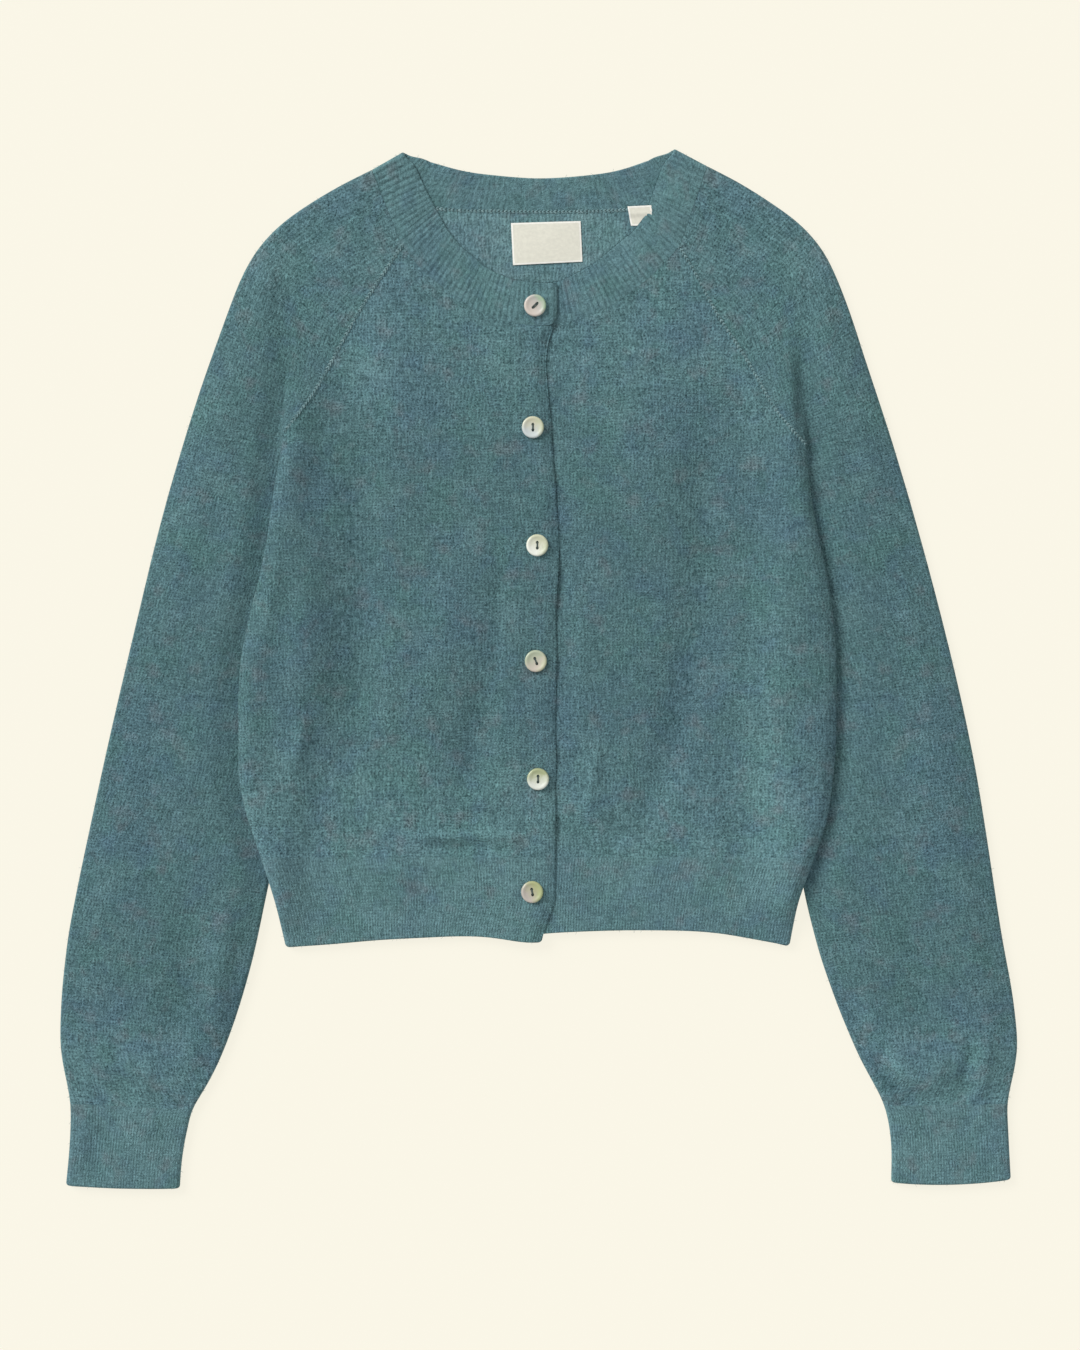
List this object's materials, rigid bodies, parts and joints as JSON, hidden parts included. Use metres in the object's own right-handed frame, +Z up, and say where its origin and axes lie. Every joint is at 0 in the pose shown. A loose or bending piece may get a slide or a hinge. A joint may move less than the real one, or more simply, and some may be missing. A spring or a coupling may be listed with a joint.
{
  "type": "button cardigan",
  "caption": "Fastened crew-neck raglan cardigan in brushed knit, laid flat face up with its sleeves down, with ribbed neckband, hem and cuffs.",
  "frame": {"origin": "on the surface the garment lies on, under the middle of its bounding box", "axes": "+Z up from the surface, +Y from the hem to the neck, -X the wearer's right"},
  "size_m": [0.6523, 0.708, 0.0133],
  "materials": {
    "knit": "brushed plain knit, heathered teal",
    "rib": "brushed rib knit, heathered teal",
    "pearl": "polished mother-of-pearl",
    "satin": "woven satin, unprinted"
  },
  "bodies": {
    "root": {"back_panel": "knit", "front_right": "knit", "front_left": "knit", "sleeve_right": "knit", "sleeve_left": "knit", "hem_rib_back": "rib", "hem_rib_right": "rib", "hem_rib_left": "rib", "cuff_right": "rib", "cuff_left": "rib", "neckband": "rib", "button_1": "pearl", "button_2": "pearl", "button_3": "pearl", "button_4": "pearl", "button_5": "pearl", "button_6": "pearl", "neck_label": "satin", "care_label": "satin"}
  },
  "joints": []
}
